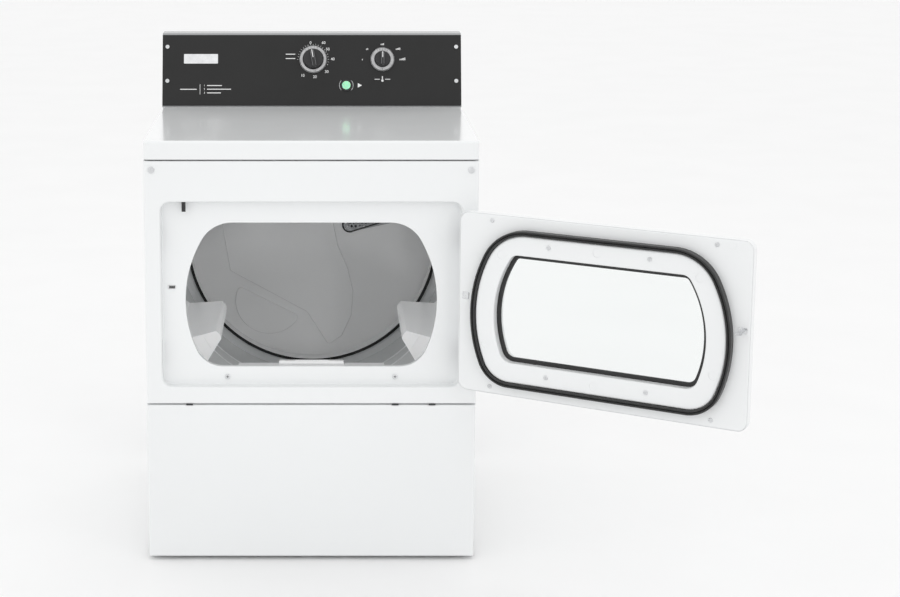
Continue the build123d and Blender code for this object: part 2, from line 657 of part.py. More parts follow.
def idler_pulley():
    wheel = turned([(5.05, BELT_Y - 10), (IDLER_RADIUS + 3, BELT_Y - 10),
                    (IDLER_RADIUS + 3, BELT_Y - 8), (IDLER_RADIUS, BELT_Y - 6),
                    (IDLER_RADIUS, BELT_Y + 6), (IDLER_RADIUS + 3, BELT_Y + 8),
                    (IDLER_RADIUS + 3, BELT_Y + 10), (5.05, BELT_Y + 10)], IDLER_X, IDLER_Z)
    return wheel


def idler_post():
    """Bracket on the base pan with the idler arm's pivot bolt."""
    x, z, y = PIVOT_X, PIVOT_Z, ARM_Y
    foot = block((x - 20, x + 20), (y + 18, y + 60), (PAN_Z + SHEET / 2, PAN_Z + SHEET + 3))
    upright = block((x - 20, x + 20), (y + 18, y + 21), (PAN_Z + SHEET, z + 18))
    return foot + upright + rod_y(x, z, 5, y - 6, y + 20) + rod_y(x, z, 8, y - 6, y - 1)


# ---------------------------------------------------------------- air path
def lint_duct():
    wall = SHEET
    y = (DUCT_FRONT_Y, DUCT_BACK_Y)
    inner_y = (y[0] + wall, y[1] - wall)
    outer = block((-DUCT_HALF, DUCT_HALF), y, (60, 410)) + block((-150, 150), y, (339, 410))
    inner = block((-DUCT_HALF + wall, DUCT_HALF - wall), inner_y, (60 + wall, 420))
    inner += block((-150 + wall, 150 - wall), inner_y, (339 + wall, 420))
    duct = outer - inner
    duct -= block((-146, 146), (y[1] - 5, y[1] + 5), (344, 420))
    return duct - rod_y(0, SHAFT_Z, 60, y[1] - 5, y[1] + 5)


def outlet_grille():
    plate = Pos(0, 375.5) * Rectangle(300, 69)
    for column in range(-13, 14):
        plate -= Pos(column * 10.5, 375.5) * SlotOverall(56, 5, rotation=90)
    grille = along_y(plate, DUCT_BACK_Y, DUCT_BACK_Y + 2)
    cap = block((-153, 153), (DUCT_FRONT_Y + 0.2, DUCT_BACK_Y + 2), (410, 417))
    cap = fillet(cap.faces().sort_by(Axis.Z)[-1].edges(), 1.5)
    return grille + cap - block((-67, 67), (FILTER_Y - 6, FILTER_Y + 6), (400, 420))


def lint_filter():
    frame = block((-64, 64), (FILTER_Y - 4, FILTER_Y + 4), (206, 419))
    for low, high in ((212, 274), (280, 342), (348, 408)):
        for side in (-1, 1):
            x = sorted((side * 4, side * 58))
            frame -= block(x, (FILTER_Y - 2.8, FILTER_Y - 2.8 + 9), (low, high))
            frame -= block(x, (FILTER_Y - 9, FILTER_Y - 3.6), (low, high))
    handle = block((-68, 68), (FILTER_Y - 7.5, FILTER_Y + 7.5), (417.5, 425))
    handle = fillet(handle.edges().group_by(Axis.Z)[-1], 3)
    dip = Pos(0, FILTER_Y, 427) * Rot(0, 90, 0) * Cylinder(5, 70)
    return frame + handle - dip


def blower_housing():
    low, high = DUCT_BACK_Y, BLOWER_BACK_Y
    scroll = Pos(0, SHAFT_Z) * Circle(104)
    outlet = panel_sheet(20, EXHAUST_X + 56, 20, 128, 8)
    outer = along_y(scroll + outlet, low, high)
    inner = along_y(Pos(0, SHAFT_Z) * Circle(102) + panel_sheet(22, EXHAUST_X + 54, 22, 126, 6),
                    low + 2, high - 2)
    housing = outer - inner - rod_y(0, SHAFT_Z, 60, low - 5, low + 5)
    housing -= rod_y(0, SHAFT_Z, 7, high - 5, high + 5)
    return housing - rod_y(EXHAUST_X, EXHAUST_Z, EXHAUST_RADIUS - 1.5, high - 5, high + 5)


def exhaust_duct():
    pipe = EXHAUST_RADIUS - 0.5
    bore = EXHAUST_RADIUS - 1.5
    end = EXHAUST_END_Y
    outline = [(bore, BLOWER_BACK_Y), (pipe + 5, BLOWER_BACK_Y), (pipe + 5, BLOWER_BACK_Y + 1.5),
               (pipe, BLOWER_BACK_Y + 1.5), (pipe, BACK - 1), (pipe + 2.4, BACK), (pipe + 2.4, BACK + 1),
               (EXHAUST_RADIUS, BACK + 2), (EXHAUST_RADIUS, end), (bore, end)]
    return turned(outline, EXHAUST_X, EXHAUST_Z)


def heater_box():
    y = (REAR_BULKHEAD_Y + SHEET, BACK - SHEET - 2)
    box = block((70, 300), y, (420, 840))
    box -= block((71.5, 298.5), (y[0] + 1.2, y[1] - 1.2), (421.5, 838.5))
    box -= along_y(inlet_shape(4), y[0] - 3, y[0] + 3)
    for z in (440, 460, 480):
        box -= block((100, 270), (y[1] - 3, y[1] + 3), (z, z + 8))
    thermostats = [rod_x(y[0] + 18, z, 11, 300, 312) for z in (520, 760)]
    return Compound(children=[box] + thermostats)


def heater_element():
    """Coiled wires on insulators, drawn as straight spans joined at their ends."""
    y = REAR_BULKHEAD_Y + 20
    spans = [rod_z(x, y, 5, 500, 810) for x in range(95, 290, 30)]
    frame = block((85, 285), (y - 7, y + 7), (498, 503)) + block((85, 285), (y - 7, y + 7), (807, 812))
    for span in spans:
        frame += span
    return frame


def terminal_block():
    x, z = TERMINAL_X, TERMINAL_Z
    body = block((x - 23, x + 23), (BACK - 18, BACK - 2), (z - 20, z + 20))
    for post in (-14, 0, 14):
        body += rod_y(x + post, z, 4, BACK - 3, BACK + 5)
    return body


def terminal_cover():
    x, z = TERMINAL_X, TERMINAL_Z
    half = 45
    cover = block((x - half, x + half), (BACK, BACK + 30), (z - half, z + half))
    cover = fillet(cover.faces().sort_by(Axis.Y)[-1].edges(), 2)
    inner = half - SHEET
    cover -= block((x - inner, x + inner), (BACK - 1, BACK + 30 - SHEET), (z - inner, z + inner))
    return cover - rod_z(x, BACK + 15, CORD_HOLE, z - half - 5, z - inner + 5)


# ---------------------------------------------------------------- door
def hand_pocket(grow=0.0):
    """Outline of the finger pocket in the door's outer face."""
    middle = Pos(POCKET_X, POCKET_Z)
    return middle * RectangleRounded(POCKET_WIDE + 2 * grow, POCKET_TALL + 2 * grow, 14 + grow)


def door_outer_panel():
    face = panel_sheet(-DOOR_HALF, DOOR_HALF, DOOR_LOW, DOOR_TOP, DOOR_CORNER)
    skin = along_y(face, DOOR_FACE_Y, DOOR_INNER_Y - 1)
    skin = fillet(edges_at_y(skin, DOOR_FACE_Y), 8)
    inside = panel_sheet(-DOOR_HALF + SHEET, DOOR_HALF - SHEET, DOOR_LOW + SHEET, DOOR_TOP - SHEET,
                         DOOR_CORNER - SHEET)
    hollow = along_y(inside, DOOR_FACE_Y + SHEET, DOOR_INNER_Y + 5)
    skin -= fillet(edges_at_y(hollow, DOOR_FACE_Y + SHEET), 8 - SHEET)
    skin += along_y(hand_pocket(SHEET), DOOR_FACE_Y + 0.5, DOOR_FACE_Y + POCKET_DEEP + SHEET)
    skin -= along_y(hand_pocket(), DOOR_FACE_Y - 5, DOOR_FACE_Y + POCKET_DEEP)
    skin += along_y(door_window(SHEET), DOOR_FACE_Y + 0.5, GLASS_Y - 1)
    skin -= along_y(door_window(), DOOR_FACE_Y - 5, 0)
    outer_rim = [e for e in edges_at_y(skin, DOOR_FACE_Y) if abs(e.center().X) < DOOR_HALF - 12]
    skin = fillet(outer_rim, 1.2)
    for z in HINGE_HEIGHTS:
        skin -= block((DOOR_HALF - 10, DOOR_HALF + 5), (-347.6, -344.6), (z - 9, z + 9))
    return skin


def door_inner_panel():
    side = DOOR_HALF - SHEET - 0.2
    low, high = DOOR_LOW + SHEET + 0.2, DOOR_TOP - SHEET - 0.2
    corner = DOOR_CORNER - SHEET
    tray = along_y(panel_sheet(-side, side, low, high, corner), DOOR_INNER_Y - 14, DOOR_INNER_Y)
    tray = fillet(edges_at_y(tray, DOOR_INNER_Y), 2)
    tray -= along_y(panel_sheet(-side + SHEET, side - SHEET, low + SHEET, high - SHEET, corner - 1),
                    DOOR_INNER_Y - 20, DOOR_INNER_Y - SHEET)
    tray -= along_y(door_window(8), DOOR_FACE_Y, DOOR_INNER_Y + 5)
    inner_face = Plane(origin=(0, DOOR_INNER_Y - 0.4, 0), x_dir=(-1, 0, 0), z_dir=(0, 1, 0))
    tray += extrude(inner_face * panel_sheet(256, 270, 743, 755, 2), 1.0, taper=20)
    for z in HINGE_HEIGHTS:
        for side_x in (-DOOR_HALF, DOOR_HALF):
            tray -= block((side_x - 5, side_x + 5), (-340, -332), (z - 28, z + 28))
    return tray


def door_window_frame():
    """Raised ring round the window, its inner wall running down to the glass."""
    gap = GASKET_BAND + 0.5
    top = DOOR_INNER_Y + FRAME_STEP
    crown = along_y(gasket_window(-gap), DOOR_INNER_Y, top)
    crown = fillet(edges_at_y(crown, top), 4)
    crown -= along_y(gasket_window(-gap - 2), DOOR_INNER_Y - 1, top - 2)
    throat = along_y(door_window(7), GLASS_Y + GLASS_THICK + 1, top - 1)
    ring = crown + throat - along_y(door_window(5), GLASS_Y - 5, top + 5)
    lip = [e for e in edges_at_y(ring, top) if abs(e.center().X) < WINDOW_RADIUS + 7
           and WINDOW_LOW - 10 < e.center().Z < WINDOW_TOP + 10]
    ring = fillet(lip, 3)
    for x, z in FRAME_DIMPLES:
        ring -= rod_y(x, z, 9, top - 1.1, top + 1)
    return ring


def door_glass():
    return along_y(door_window(5), GLASS_Y, GLASS_Y + GLASS_THICK)


def door_glass_seal():
    """Black channel round the edge of the pane."""
    outer = door_window(6.6)
    lips = outer - door_window(-3.5)
    front = along_y(lips, GLASS_Y + GLASS_THICK, GLASS_Y + GLASS_THICK + 0.9)
    back = along_y(lips, GLASS_Y - 0.9, GLASS_Y)
    edge = along_y(outer - door_window(5), GLASS_Y - 0.9, GLASS_Y + GLASS_THICK + 0.9)
    return front + back + edge


def door_gasket():
    """Flat base with two soft ribs."""
    tip = RECESS_FLOOR_Y - 0.5
    band = gasket_window() - gasket_window(-GASKET_BAND)
    base = along_y(band, DOOR_INNER_Y, DOOR_INNER_Y + 7)
    for inset in (0, GASKET_BAND - GASKET_RIB):
        rib = gasket_window(-inset) - gasket_window(-inset - GASKET_RIB)
        base += fillet(edges_at_y(along_y(rib, DOOR_INNER_Y + 6, tip), tip), 1.5)
    return base


def knuckle(z, half):
    return rod_z(HINGE_X, HINGE_Y, 3.1, z - half, z + half)


def cabinet_hinge_leaves():
    """Two-fingered leaves from the recess wall, with the pins fixed in them."""
    parts = []
    for z in HINGE_HEIGHTS:
        leaf = block((306.5, 308.3), (-341, -316.2), (z - HINGE_HALF, z + HINGE_HALF))
        leaf += block((306.5, 326), (-318, -316.2), (z - HINGE_HALF, z + HINGE_HALF))
        pin = rod_z(HINGE_X, HINGE_Y, 1.5, z - HINGE_HALF, z + HINGE_HALF)
        for side in (-1, 1):
            middle = z + side * (HINGE_HALF + 9) / 2
            reach = (HINGE_HALF - 9) / 2
            leaf += block((306.5, 308.3), (-349, -340), (middle - reach, middle + reach))
            leaf += knuckle(middle, reach)
        parts += [leaf - pin, pin]
    return Compound(children=parts)


def door_hinge_leaves():
    parts = []
    for z in HINGE_HEIGHTS:
        leaf = knuckle(z, 8.6) + block((286, 309), (-347, -345.2), (z - 8.6, z + 8.6))
        parts.append(leaf - rod_z(HINGE_X, HINGE_Y, 1.55, z - 12, z + 12))
    return Compound(children=parts)


def door_strike():
    """Headed blade that springs into the catch."""
    x, z = STRIKE_X, STRIKE_Z
    base = block((x - 9, x + 9), (DOOR_INNER_Y, DOOR_INNER_Y + 1.6), (z - 6, z + 6))
    base = fillet(base.edges().filter_by(Axis.Y), 2)
    neck = block((x - 4, x + 4), (DOOR_INNER_Y, DOOR_INNER_Y + 27), (z - 1.2, z + 1.2))
    head = block((x - 5.5, x + 5.5), (DOOR_INNER_Y + 20, DOOR_INNER_Y + 27), (z - 2.6, z + 2.6))
    return base + neck + fillet(head.edges().filter_by(Axis.X), 1)


def door_screws():
    """Panel and frame screws, and the plug in the unused strike place."""
    inward = Rot(-90, 0, 0)
    parts = []
    for x, z in PANEL_SCREWS:
        parts.append(Pos(x, DOOR_INNER_Y, z) * inward * screw_head(4.6, 2.0))
    for x, z in FRAME_SCREWS:
        parts.append(Pos(x, DOOR_INNER_Y + FRAME_STEP, z) * inward * screw_head(4.6, 2.0))
    plug = block((-STRIKE_X - 7, -STRIKE_X + 7), (DOOR_INNER_Y, DOOR_INNER_Y + 1.8),
                 (STRIKE_Z - 7, STRIKE_Z + 7))
    parts.append(fillet(plug.edges().group_by(Axis.Y)[-1], 1.2))
    return Compound(children=parts)


def door_catch():
    """Housing behind the recess floor with a slot for the strike."""
    y = RECESS_FLOOR_Y
    body = block((STRIKE_X - 14, STRIKE_X + 9), (y + FRONT_SHEET, y + 22), (STRIKE_Z - 11, STRIKE_Z + 11))
    nose = block((STRIKE_X - 7.8, STRIKE_X + 7.8), (y - 1.2, y + 5), (STRIKE_Z - 3.8, STRIKE_Z + 3.8))
    slot = block((STRIKE_X - 6.4, STRIKE_X + 6.4), (y - 5, y + 19), (STRIKE_Z - 3.2, STRIKE_Z + 3.2))
    return body + nose - slot


def door_switch():
    z = RECESS_TOP + FRONT_SHEET
    body = block((-274, -250), (-327, -310), (z, z + 27))
    body -= block((-267, -257), (-326, -305), (z - 1, z + 16))
    return body - rod_x(-318, z + 8, 1.55, -272, -252)


def door_switch_lever():
    z = RECESS_TOP + FRONT_SHEET
    lever = block((-266, -258), (-324.2, -319), (RECESS_TOP - 21, z + 11))
    lever += rod_x(-318, z + 8, 3, -266, -258)
    lever = fillet(lever.edges().filter_by(Axis.X).group_by(Axis.Z)[0], 1.5)
    return lever + rod_x(-318, z + 8, 1.5, -271, -253)


# ---------------------------------------------------------------- feet
def levelling_foot(x, y):
    pad = Pos(x, y, 3.5) * Cylinder(FOOT_PAD, 7)
    pad = fillet(pad.edges().group_by(Axis.Z)[-1], 2)
    nut = Pos(x, y, 7) * extrude(RegularPolygon(9, 6), 5)
    return pad + nut + rod_z(x, y, FOOT_STEM, 5, 52)


PARTS = {
    "base_pan": base_pan,
    "side_panel_left": lambda: side_panel(-1),
    "side_panel_right": lambda: side_panel(1),
    "rear_panel": rear_panel,
    "top_panel": top_panel,
    "front_panel": front_panel,
    "toe_panel": toe_panel,
    "cabinet_screws": cabinet_screws,
    "console_face": console_face,
    "console_shell": console_shell,
    "console_back_cover": console_back_cover,
    "timer": lambda: console_switch(TIMER_AT, (70, 62), 34, SPINDLE + 0.05),
    "temperature_switch": lambda: console_switch(TEMPERATURE_AT, (40, 40), 22, SPINDLE + 0.05),
    "start_switch": start_switch,
    "start_button": start_button,
    "timer_knob": lambda: control_knob(TIMER_AT, 31.5, 22.0, 10.0),
    "temperature_knob": lambda: control_knob(TEMPERATURE_AT, 27.2, 17.0),
    "front_bulkhead": front_bulkhead,
    "rear_bulkhead": rear_bulkhead,
    "inlet_grille": inlet_grille,
    "drum_seals": drum_seals,
    "drum_shell": drum_shell,
    "baffle_top": lambda: baffle(180),
    "baffle_left": lambda: baffle(BAFFLE_ANGLE),
    "baffle_right": lambda: baffle(-BAFFLE_ANGLE),
    "drum_roller_left": lambda: drum_roller(-1),
    "drum_roller_right": lambda: drum_roller(1),
    "roller_shafts": roller_shafts,
    "drive_belt": drive_belt,
    "motor": motor,
    "motor_shaft": motor_shaft,
    "blower_wheel": blower_wheel,
    "idler_arm": idler_arm,
    "idler_pulley": idler_pulley,
    "lint_duct": lint_duct,
    "outlet_grille": outlet_grille,
    "lint_filter": lint_filter,
    "blower_housing": blower_housing,
    "exhaust_duct": exhaust_duct,
    "heater_box": heater_box,
    "heater_element": heater_element,
    "terminal_block": terminal_block,
    "terminal_cover": terminal_cover,
    "door_catch": door_catch,
    "door_switch": door_switch,
    "door_switch_lever": door_switch_lever,
    "cabinet_hinge_leaves": cabinet_hinge_leaves,
    "foot_front_left": lambda: levelling_foot(-FOOT_X, -FOOT_Y),
    "foot_front_right": lambda: levelling_foot(FOOT_X, -FOOT_Y),
    "foot_rear_left": lambda: levelling_foot(-FOOT_X, FOOT_Y),
    "foot_rear_right": lambda: levelling_foot(FOOT_X, FOOT_Y),
    "door_outer_panel": lambda: swung_open(door_outer_panel()),
    "door_inner_panel": lambda: swung_open(door_inner_panel()),
    "door_window_frame": lambda: swung_open(door_window_frame()),
    "door_glass": lambda: swung_open(door_glass()),
    "door_glass_seal": lambda: swung_open(door_glass_seal()),
    "door_gasket": lambda: swung_open(door_gasket()),
    "door_hinge_leaves": lambda: swung_open(door_hinge_leaves()),
    "door_strike": lambda: swung_open(door_strike()),
    "door_screws": lambda: swung_open(door_screws()),
}

os.makedirs("parts", exist_ok=True)
for name, make in PARTS.items():
    export_step(make(), f"parts/{name}.step")
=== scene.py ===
import math

import bpy
from mathutils import Matrix, Vector


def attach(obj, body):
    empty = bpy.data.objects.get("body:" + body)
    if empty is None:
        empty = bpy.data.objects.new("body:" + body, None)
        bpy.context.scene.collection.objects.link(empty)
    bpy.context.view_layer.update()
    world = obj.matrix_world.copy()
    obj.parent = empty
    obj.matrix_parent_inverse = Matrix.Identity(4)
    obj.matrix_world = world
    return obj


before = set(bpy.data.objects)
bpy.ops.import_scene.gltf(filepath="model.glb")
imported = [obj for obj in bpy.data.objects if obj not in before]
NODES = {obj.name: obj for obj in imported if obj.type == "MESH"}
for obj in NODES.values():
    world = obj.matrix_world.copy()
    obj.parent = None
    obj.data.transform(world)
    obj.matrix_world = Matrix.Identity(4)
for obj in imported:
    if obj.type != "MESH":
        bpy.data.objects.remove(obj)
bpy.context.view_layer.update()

# Clothes dryer, in metres. +Z is up, the front faces -Y, and the door rests wide open.

# ---------------------------------------------------------------- camera and studio
CAMERA_AT = (0.0114, -4.17, 1.497)
CAMERA_PITCH = 10.35
CAMERA_LENS = 76.4
CAMERA_SHIFT = (0.148, -0.12)
SENSOR_WIDTH = 36.0
FLOOR_SIZE = 60.0

# ---------------------------------------------------------------- places taken from the CAD
CONSOLE_FOOT = Vector((0.0, 0.172, 0.902))
CONSOLE_HEAD = Vector((0.0, 0.215, 1.060))
TIMER = (0.003, 0.1068)
TEMPERATURE = (0.162, 0.1068)
START = (0.079, 0.0467)
FRONT_Y = -0.330
BACK_Y = 0.330
FILTER_Y = -0.286
REAR_WALL_Y = 0.284
SLOT_FLOOR_Y = -0.3092


def make_camera():
    """Looks along +Y and a little down, with the dryer left of the middle as the shift sets it."""
    data = bpy.data.cameras.new("camera")
    data.lens = CAMERA_LENS
    data.sensor_width = SENSOR_WIDTH
    data.shift_x, data.shift_y = CAMERA_SHIFT
    camera = bpy.data.objects.new("camera", data)
    bpy.context.collection.objects.link(camera)
    camera.location = CAMERA_AT
    camera.rotation_euler = (math.radians(90.0 - CAMERA_PITCH), 0.0, 0.0)
    bpy.context.scene.camera = camera


def aim_at(light, place, target):
    light.location = place
    aim = Vector(target) - Vector(place)
    light.rotation_euler = aim.to_track_quat("-Z", "Y").to_euler()


def soft_light(name, place, target, size, power):
    data = bpy.data.lights.new(name, "AREA")
    data.shape = "RECTANGLE"
    data.size, data.size_y = size
    data.energy = power
    light = bpy.data.objects.new(name, data)
    bpy.context.collection.objects.link(light)
    aim_at(light, place, target)


def drum_light(place, target):
    """Narrow soft light that reaches through the front opening into the drum."""
    data = bpy.data.lights.new("drum_light", "SPOT")
    data.energy = 110.0
    data.spot_size = math.radians(7.0)
    data.spot_blend = 0.9
    data.shadow_soft_size = 0.4
    spot = bpy.data.objects.new("drum_light", data)
    bpy.context.collection.objects.link(spot)
    aim_at(spot, place, target)


def make_studio():
    """White surround, pale floor, three large soft lights and one into the drum."""
    world = bpy.data.worlds.new("studio")
    world.use_nodes = True
    sky = world.node_tree.nodes["Background"]
    sky.inputs["Color"].default_value = (1.0, 1.0, 1.0, 1.0)
    sky.inputs["Strength"].default_value = 1.0
    bpy.context.scene.world = world
    bpy.context.scene.view_settings.view_transform = "Standard"
    soft_light("key", (-2.6, -3.4, 3.2), (0.0, -0.2, 0.5), (2.4, 2.4), 9.0)
    soft_light("fill", (3.2, -3.0, 2.2), (0.2, -0.3, 0.6), (2.0, 2.0), 4.0)
    soft_light("top", (0.0, 0.4, 4.2), (0.0, 0.0, 0.8), (3.0, 2.0), 6.0)
    drum_light((1.0, -3.4, 1.3), (0.0, -0.3, 0.58))
    half = FLOOR_SIZE / 2
    corners = [(-half, -half, 0), (half, -half, 0), (half, half, 0), (-half, half, 0)]
    floor = new_mesh("floor", corners, [(0, 1, 2, 3)])
    floor.data.materials.append(floor_material())


# ---------------------------------------------------------------- materials
ORANGE_PEEL = 520.0
PEEL_DEPTH = 0.00004
WAVE_DEPTH = 0.12


class Shader:
    """A node material built step by step around one Principled shader."""

    def __init__(self, name, color, rough, metal=0.0, **sockets):
        self.material = bpy.data.materials.new(name)
        self.material.use_nodes = True
        self.tree = self.material.node_tree
        self.surface = self.tree.nodes["Principled BSDF"]
        self.surface.inputs["Base Color"].default_value = (*color, 1.0)
        self.surface.inputs["Roughness"].default_value = rough
        self.surface.inputs["Metallic"].default_value = metal
        for socket, value in sockets.items():
            self.surface.inputs[socket.replace("_", " ").title()].default_value = value
        self.place = self.node("ShaderNodeTexCoord").outputs["Object"]

    def node(self, kind, **settings):
        made = self.tree.nodes.new(kind)
        for key, value in settings.items():
            setattr(made, key, value)
        return made

    def link(self, start, end):
        self.tree.links.new(start, end)

    def noise(self, scale, detail=4.0, stretch=(1, 1, 1)):
        """Noise at a number of cells to the metre, stretched along the axes."""
        mapping = self.node("ShaderNodeMapping")
        mapping.inputs["Scale"].default_value = stretch
        self.link(self.place, mapping.inputs["Vector"])
        noise = self.node("ShaderNodeTexNoise")
        noise.inputs["Scale"].default_value = scale
        noise.inputs["Detail"].default_value = detail
        self.link(mapping.outputs["Vector"], noise.inputs["Vector"])
        return noise.outputs["Fac"]

    def ramp(self, value, low, high, start=0.3, end=0.7):
        """Two colours, or two greys, across a value."""
        ramp = self.node("ShaderNodeValToRGB")
        ramp.color_ramp.elements[0].position = start
        ramp.color_ramp.elements[1].position = end
        for element, shade in zip(ramp.color_ramp.elements, (low, high)):
            element.color = (*shade, 1.0) if isinstance(shade, tuple) else (shade,) * 3 + (1.0,)
        self.link(value, ramp.inputs["Fac"])
        return ramp.outputs["Color"]

    def mottle(self, low, high, scale, stretch=(1, 1, 1)):
        """Base colour that drifts gently between two shades."""
        color = self.ramp(self.noise(scale, 3.0, stretch), low, high)
        self.link(color, self.surface.inputs["Base Color"])
        return self

    def worn_gloss(self, low, high, scale, stretch=(1, 1, 1)):
        """Roughness that drifts between two values."""
        gloss = self.ramp(self.noise(scale, 5.0, stretch), low, high)
        self.link(gloss, self.surface.inputs["Roughness"])
        return self

    def bump(self, height, depth, strength=1.0):
        """Relief from a height, with its depth in metres, added to any relief already there."""
        relief = self.node("ShaderNodeBump")
        relief.inputs["Distance"].default_value = depth
        relief.inputs["Strength"].default_value = strength
        self.link(height, relief.inputs["Height"])
        normal = self.surface.inputs["Normal"]
        if normal.links:
            self.link(normal.links[0].from_socket, relief.inputs["Normal"])
        self.link(relief.outputs["Normal"], normal)
        return self


def shade(value, tint=(1.0, 1.0, 1.0)):
    return tuple(value * part for part in tint)


def floor_material():
    paint = Shader("studio_floor", (0.93, 0.93, 0.93), 0.6)
    paint.mottle(shade(0.925), shade(0.94), 3.0)
    return paint.material


def enamel(name, value, rough, tint=(0.985, 1.0, 1.005)):
    """Baked enamel: orange peel a millimetre or two across and a faint drift of gloss."""
    paint = Shader(name, shade(value, tint), rough, coat_weight=0.35, coat_roughness=0.08)
    paint.mottle(shade(value * 0.996, tint), shade(value, tint), 6.0)
    paint.worn_gloss(rough * 0.95, rough * 1.05, 9.0)
    return paint.bump(paint.noise(ORANGE_PEEL, 2.0), PEEL_DEPTH).material


def pressed_enamel():
    """Enamel over a large pressing. The slow wave is exaggerated, so that it shows in soft light."""
    paint = Shader("bulkhead_enamel", shade(0.93), 0.24, coat_weight=0.4, coat_roughness=0.12)
    paint.mottle(shade(0.915), shade(0.93), 4.0)
    paint.bump(paint.noise(3.4, 0.0), WAVE_DEPTH)
    return paint.bump(paint.noise(ORANGE_PEEL, 2.0), PEEL_DEPTH).material


def plastic(name, low, high, rough, grain=900.0, depth=0.00008, **sockets):
    """Moulded plastic with a fine spark-eroded grain."""
    resin = Shader(name, high, rough, **sockets)
    resin.mottle(low, high, 25.0)
    resin.worn_gloss(rough * 0.85, rough * 1.15, 60.0)
    return resin.bump(resin.noise(grain, 2.0), depth).material


def sheet_metal(name, low, high, rough, stretch=(1, 1, 1), grain=420.0):
    """Metal with a drawn or brushed grain along its least stretched axis."""
    metal = Shader(name, high, rough, 1.0)
    metal.mottle(low, high, 60.0, stretch)
    metal.worn_gloss(rough * 0.8, rough * 1.25, 80.0, stretch)
    return metal.bump(metal.noise(grain, 3.0, stretch), 0.00004).material


def galvanised():
    """Zinc spangle: crystals about a centimetre across, each with its own grey."""
    zinc = Shader("galvanised", (0.6, 0.62, 0.64), 0.4, 0.9)
    cells = zinc.node("ShaderNodeTexVoronoi", feature="F1")
    cells.inputs["Scale"].default_value = 110.0
    zinc.link(zinc.place, cells.inputs["Vector"])
    grey = zinc.ramp(cells.outputs["Color"], (0.46, 0.48, 0.5), (0.66, 0.68, 0.7), 0.1, 0.9)
    zinc.link(grey, zinc.surface.inputs["Base Color"])
    zinc.worn_gloss(0.32, 0.5, 30.0)
    return zinc.bump(cells.outputs["Distance"], 0.00005).material


def rubber(name, value, rough):
    """Rubber with a matt bloom and fine mould texture."""
    compound = Shader(name, shade(value), rough, sheen_weight=0.15)
    compound.mottle(shade(value * 0.8), shade(value * 1.3), 40.0)
    return compound.bump(compound.noise(1400.0, 2.0), 0.00006).material


def felt():
    """Dense black felt with loose fibres."""
    wool = Shader("felt", (0.02, 0.02, 0.02), 0.95, sheen_weight=0.4)
    wool.mottle((0.012, 0.012, 0.012), (0.035, 0.035, 0.035), 300.0)
    return wool.bump(wool.noise(1600.0, 6.0, (1, 1, 3)), 0.0003).material


def fascia():
    """Charcoal console face: satin ink on steel with a fine even grain."""
    ink = Shader("fascia_charcoal", (0.012, 0.012, 0.012), 0.5)
    ink.surface.inputs["Specular IOR Level"].default_value = 0.4
    ink.mottle((0.010, 0.010, 0.010), (0.014, 0.014, 0.014), 900.0)
    ink.worn_gloss(0.46, 0.56, 14.0)
    return ink.bump(ink.noise(1500.0, 2.0), 0.00005).material


def print_ink(name, color):
    """Screen-printed ink with a slightly uneven film."""
    ink = Shader(name, color, 0.5)
    ink.mottle(tuple(part * 0.93 for part in color), color, 700.0)
    return ink.bump(ink.noise(2500.0, 2.0), 0.00002).material


def ring_silver():
    """Satin silver plating with a fine turned grain."""
    plate = Shader("dial_silver", (0.5, 0.5, 0.505), 0.3, 0.85)
    plate.mottle((0.42, 0.42, 0.425), (0.56, 0.56, 0.565), 90.0)
    plate.worn_gloss(0.24, 0.38, 200.0)
    return plate.bump(plate.noise(1400.0, 2.0), 0.00003).material


def mesh_screen():
    """Fine woven polyester of the lint filter."""
    yarn = Shader("filter_screen", (0.5, 0.52, 0.54), 0.6)
    yarn.mottle((0.42, 0.44, 0.46), (0.58, 0.6, 0.62), 500.0)
    return yarn.bump(yarn.noise(4000.0, 2.0), 0.00004).material


def clear_glass():
    pane = Shader("window_glass", (0.96, 0.98, 0.975), 0.015, transmission_weight=1.0)
    pane.surface.inputs["IOR"].default_value = 1.45
    return pane.bump(pane.noise(3.0, 1.0), 0.0004, 0.2).material


def milky_plastic():
    """Translucent white baffle moulding, with a faint painted glow: an emission that stands in for light
    let through the plastic.
    """
    resin = Shader("baffle_plastic", (0.9, 0.91, 0.92), 0.25, subsurface_weight=0.35,
                   subsurface_scale=0.02)
    # painted glow: a constant white emission brightens the baffles, though they are no lamp
    resin.surface.inputs["Emission Color"].default_value = (1.0, 1.0, 1.0, 1.0)
    resin.surface.inputs["Emission Strength"].default_value = 0.14
    resin.surface.inputs["Subsurface Radius"].default_value = (1.0, 1.0, 1.05)
    resin.mottle((0.9, 0.91, 0.92), (0.94, 0.945, 0.95), 8.0)
    return resin.bump(resin.noise(700.0, 2.0), 0.00006).material


def green_lens():
    """Green start button, with a faint painted glow: an emission that stands in for light let through the
    lens.
    """
    lens = Shader("button_green", (0.36, 0.8, 0.52), 0.22, subsurface_weight=0.4,
                  subsurface_scale=0.004)
    # painted glow: a constant green emission brightens the button, though it is no lamp
    lens.surface.inputs["Emission Color"].default_value = (0.35, 0.85, 0.5, 1.0)
    lens.surface.inputs["Emission Strength"].default_value = 0.18
    lens.mottle((0.34, 0.78, 0.5), (0.4, 0.84, 0.56), 120.0)
    return lens.bump(lens.noise(1200.0, 2.0), 0.00004).material


